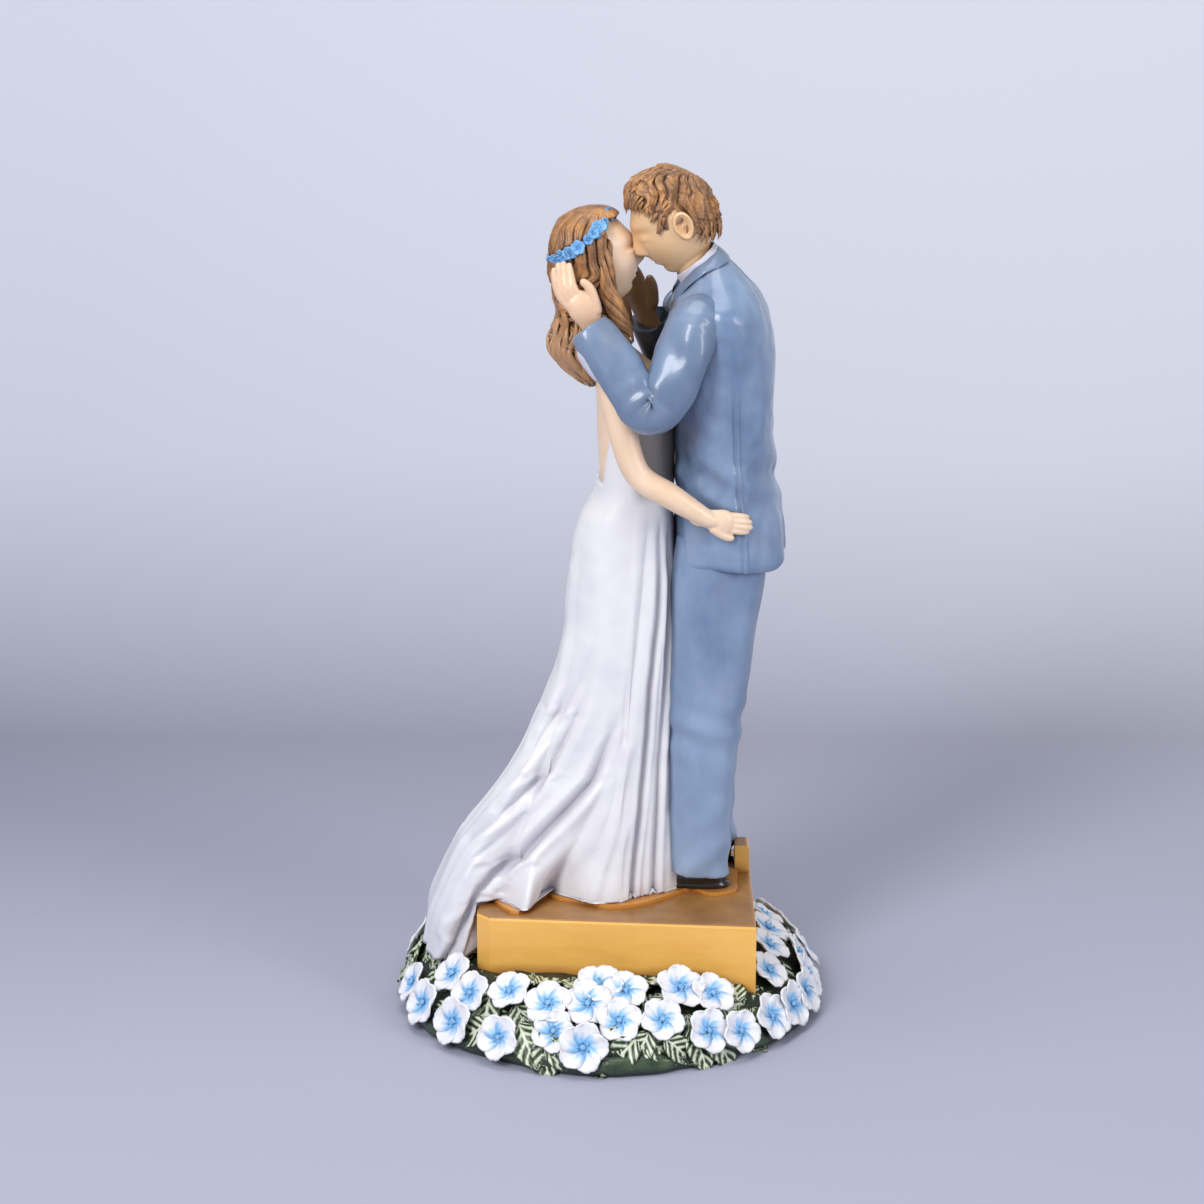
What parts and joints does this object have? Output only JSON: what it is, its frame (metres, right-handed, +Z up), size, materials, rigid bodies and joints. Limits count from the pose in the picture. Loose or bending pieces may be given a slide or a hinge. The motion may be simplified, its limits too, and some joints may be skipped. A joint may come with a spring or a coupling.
{
  "type": "wedding couple figurine",
  "caption": "Painted figurine of a kissing wedding couple on a square plinth, ringed by leaves and small flowers on a round base.",
  "frame": {"origin": "centre of the round base, on its underside", "axes": "+Z up through the couple; the groom faces -X and the bride faces +X; -Y is the side that shows the groom's left arm and the bride's right arm"},
  "size_m": [0.0846, 0.087, 0.1716],
  "materials": {
    "felt": "matt flocked felt",
    "base": "dark green painted resin, satin",
    "leaves": "green painted resin with a dark wash, satin",
    "flowers": "white painted resin tinted blue in the hollows, satin",
    "plinth": "ochre painted resin with a brown wash, satin",
    "footing": "orange painted resin, satin",
    "suit": "blue grey painted resin with a dark wash, glossy",
    "shirt": "white painted resin, satin",
    "shoes": "black painted resin, glossy",
    "skin": "flesh painted resin, satin",
    "hair": "brown painted resin with dark brown grooves, satin",
    "gown": "white painted resin with a faint grey wash in the folds, satin",
    "crown": "sky blue painted resin, satin"
  },
  "bodies": {
    "root": {"base_disc": "base", "bodice": "gown", "bride_hair": "hair", "bride_head": "skin", "bride_left_arm": "skin", "bride_right_arm": "skin", "bride_torso": "skin", "far_lock": "hair", "felt_pad": "felt", "flower_crown": "crown", "flowers_01": "flowers", "flowers_02": "flowers", "flowers_03": "flowers", "flowers_04": "flowers", "flowers_05": "flowers", "flowers_06": "flowers", "flowers_07": "flowers", "flowers_08": "flowers", "flowers_09": "flowers", "flowers_10": "flowers", "flowers_11": "flowers", "flowers_12": "flowers", "flowers_13": "flowers", "flowers_14": "flowers", "flowers_15": "flowers", "flowers_16": "flowers", "flowers_17": "flowers", "flowers_18": "flowers", "flowers_19": "flowers", "flowers_20": "flowers", "flowers_21": "flowers", "flowers_22": "flowers", "flowers_23": "flowers", "flowers_24": "flowers", "flowers_25": "flowers", "footing": "footing", "gown": "gown", "groom_hair": "hair", "groom_head": "skin", "jacket": "suit", "jacket_collar": "suit", "leaf_bed": "leaves", "left_hand": "skin", "left_shoe": "shoes", "left_sleeve": "suit", "near_lock": "hair", "plinth": "plinth", "plinth_upstand": "plinth", "right_hand": "skin", "right_shoe": "shoes", "right_sleeve": "suit", "shirt_collar": "shirt", "trousers": "suit"}
  },
  "joints": []
}
